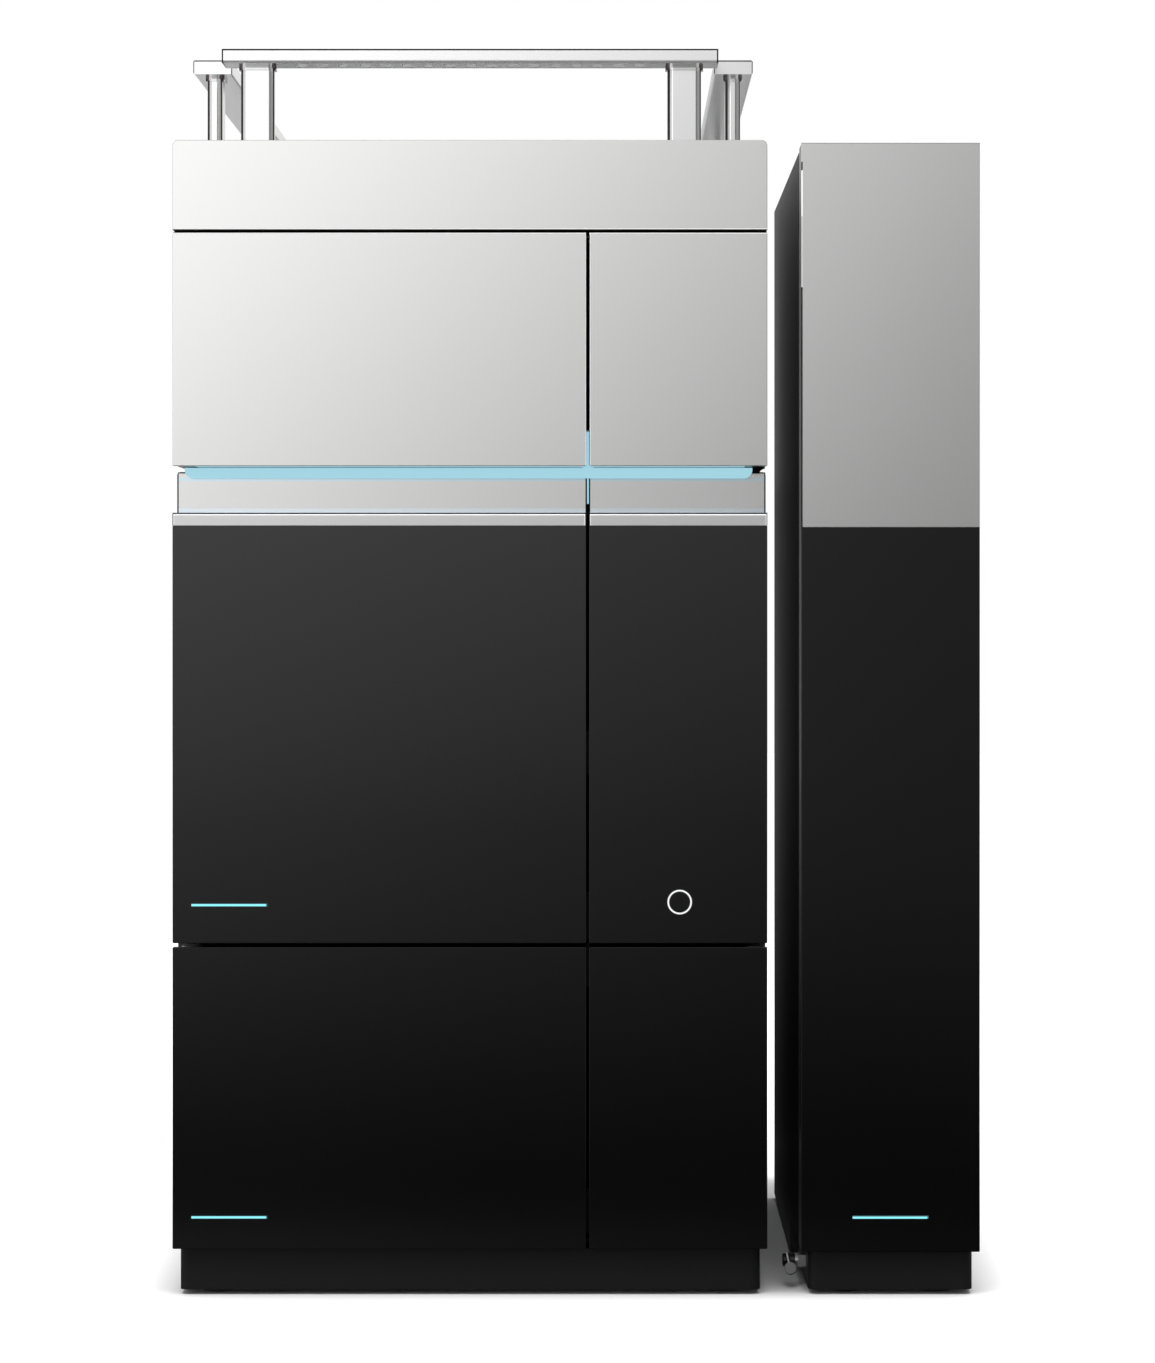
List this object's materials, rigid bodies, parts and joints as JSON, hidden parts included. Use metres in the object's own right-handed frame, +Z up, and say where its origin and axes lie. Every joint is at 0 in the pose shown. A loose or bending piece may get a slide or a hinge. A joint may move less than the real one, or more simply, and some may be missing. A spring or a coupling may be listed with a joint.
{
  "type": "liquid chromatography system",
  "caption": "Stack of pump, sampler and detector modules under a railed solvent tray, with a slim column oven tower beside it; doors, tap and internals move.",
  "frame": {"origin": "middle of the footprint on the bench, under the rubber feet", "axes": "+X to the user's right, door fronts towards -Y, +Z up"},
  "size_m": [0.57, 0.5, 0.8804],
  "materials": {
    "silver_paint": "satin silver-grey lacquer",
    "trim_metal": "satin anodised",
    "black_paint": "satin graphite lacquer",
    "housing_paint": "fine textured dark grey powder coat",
    "tray_paint": "fine textured light grey powder coat",
    "plinth_plastic": "moulded black plastic",
    "foot_rubber": "black rubber",
    "rail_metal": "brushed and clear anodised",
    "panel_metal": "galvanised grey sheet",
    "inner_plastic": "moulded grey plastic",
    "inlet_plastic": "black moulded plastic",
    "light_acrylic": "lit pale blue acrylic",
    "ring_acrylic": "lit white acrylic",
    "button_plastic": "satin black plastic",
    "zinc_steel": "zinc plated steel",
    "machined_steel": "machined stainless steel",
    "knob_plastic": "black moulded plastic",
    "white_plastic": "white moulded plastic",
    "drive_metal": "machined aluminium",
    "vial_glass": "amber glass",
    "tap_metal": "bright plated brass",
    "tap_plastic": "black plastic hub with a grey ball"
  },
  "bodies": {
    "housing": {"stack_plinth": "plinth_plastic", "rubber_feet": "foot_rubber", "pump_housing": "housing_paint", "sampler_housing": "housing_paint", "detector_housing": "tray_paint", "stacking_spacers": "housing_paint", "pump_rear_panel": "panel_metal", "sampler_rear_panel": "panel_metal", "detector_rear_panel": "panel_metal", "pump_inner_panel": "inner_plastic", "sampler_inner_panel": "inner_plastic", "detector_inner_panel": "inner_plastic", "mains_inlets": "inlet_plastic", "fan_frame": "inlet_plastic", "light_guide": "light_acrylic", "recess_fascia_left": "silver_paint", "recess_fascia_right": "silver_paint", "solvent_tray": "tray_paint", "tray_front_panel": "silver_paint", "rail_posts": "rail_metal", "tray_rails": "rail_metal", "hinge_brackets": "zinc_steel", "hinge_pins": "zinc_steel", "door_catches": "zinc_steel", "pump_heads": "machined_steel", "mixer": "machined_steel", "degasser": "white_plastic", "carousel_drive": "drive_metal", "injection_valve": "machined_steel", "syringe": "drive_metal", "lamp_housing": "drive_metal", "flow_cell": "drive_metal", "tower_plinth": "plinth_plastic", "tower_housing": "housing_paint", "tower_rear_panel": "panel_metal", "heater_block": "drive_metal", "columns": "machined_steel", "drain_tap_body": "tap_metal"},
    "pump_door_left": {"pump_door_left": "black_paint", "pump_status_bar": "light_acrylic"},
    "pump_door_right": {"pump_door_right": "black_paint"},
    "sampler_door_left": {"sampler_door_left": "black_paint", "sampler_trim_left": "trim_metal", "sampler_status_bar": "light_acrylic"},
    "sampler_door_right": {"sampler_door_right": "black_paint", "sampler_trim_right": "trim_metal", "button_light_ring": "ring_acrylic"},
    "detector_door_left": {"detector_door_left": "silver_paint"},
    "detector_door_right": {"detector_door_right": "silver_paint"},
    "tower_door": {"tower_door": "black_paint", "tower_upper_panel": "silver_paint", "tower_status_bar": "light_acrylic"},
    "power_button": {"power_button": "button_plastic"},
    "drain_tap_lever": {"drain_tap_lever": "tap_plastic"},
    "purge_knob": {"purge_knob": "knob_plastic"},
    "carousel": {"carousel": "white_plastic", "sample_vials": "vial_glass"},
    "needle_carriage": {"needle_carriage": "drive_metal"},
    "needle_head": {"needle_head": "drive_metal"},
    "fan_rotor": {"fan_rotor": "inlet_plastic"}
  },
  "joints": [
    {"name": "pump_door_left_hinge", "type": "hinge", "parent": "housing", "child": "pump_door_left", "pos_m": [-0.275, -0.236, 0.139], "axis": [0, 0, -1], "range_deg": [0, 105]},
    {"name": "pump_door_right_hinge", "type": "hinge", "parent": "housing", "child": "pump_door_right", "pos_m": [0.125, -0.236, 0.139], "axis": [0, 0, 1], "range_deg": [0, 105]},
    {"name": "sampler_door_left_hinge", "type": "hinge", "parent": "housing", "child": "sampler_door_left", "pos_m": [-0.275, -0.236, 0.4003], "axis": [0, 0, -1], "range_deg": [0, 105]},
    {"name": "sampler_door_right_hinge", "type": "hinge", "parent": "housing", "child": "sampler_door_right", "pos_m": [0.125, -0.236, 0.4003], "axis": [0, 0, 1], "range_deg": [0, 105]},
    {"name": "detector_door_left_hinge", "type": "hinge", "parent": "housing", "child": "detector_door_left", "pos_m": [-0.275, -0.236, 0.6678], "axis": [0, 0, -1], "range_deg": [0, 105]},
    {"name": "detector_door_right_hinge", "type": "hinge", "parent": "housing", "child": "detector_door_right", "pos_m": [0.125, -0.236, 0.6678], "axis": [0, 0, 1], "range_deg": [0, 105]},
    {"name": "tower_door_hinge", "type": "hinge", "parent": "housing", "child": "tower_door", "pos_m": [0.275, -0.236, 0.4219], "axis": [0, 0, 1], "range_deg": [0, 105]},
    {"name": "power_button_press", "type": "slide", "parent": "sampler_door_right", "child": "power_button", "axis": [0, 1, 0], "range_m": [0, 0.002], "stiffness_N_per_m": 400},
    {"name": "drain_tap_turn", "type": "hinge", "parent": "housing", "child": "drain_tap_lever", "pos_m": [0.152, -0.213, 0.0182], "axis": [1, 0, 0], "range_deg": [0, 90]},
    {"name": "purge_knob_turn", "type": "hinge", "parent": "housing", "child": "purge_knob", "pos_m": [-0.03, -0.0933, 0.1505], "axis": [0, -1, 0], "range_deg": [0, 270]},
    {"name": "carousel_turn", "type": "hinge", "parent": "housing", "child": "carousel", "pos_m": [-0.14, -0.095, 0.2973], "axis": [0, 0, 1], "continuous": true},
    {"name": "needle_carriage_slide", "type": "slide", "parent": "housing", "child": "needle_carriage", "axis": [-1, 0, 0], "range_m": [0, 0.06]},
    {"name": "needle_lift", "type": "slide", "parent": "needle_carriage", "child": "needle_head", "axis": [0, 0, -1], "range_m": [0, 0.06]},
    {"name": "fan_spin", "type": "hinge", "parent": "housing", "child": "fan_rotor", "pos_m": [0.222, 0.145, 0.1804], "axis": [0, 1, 0], "continuous": true}
  ]
}
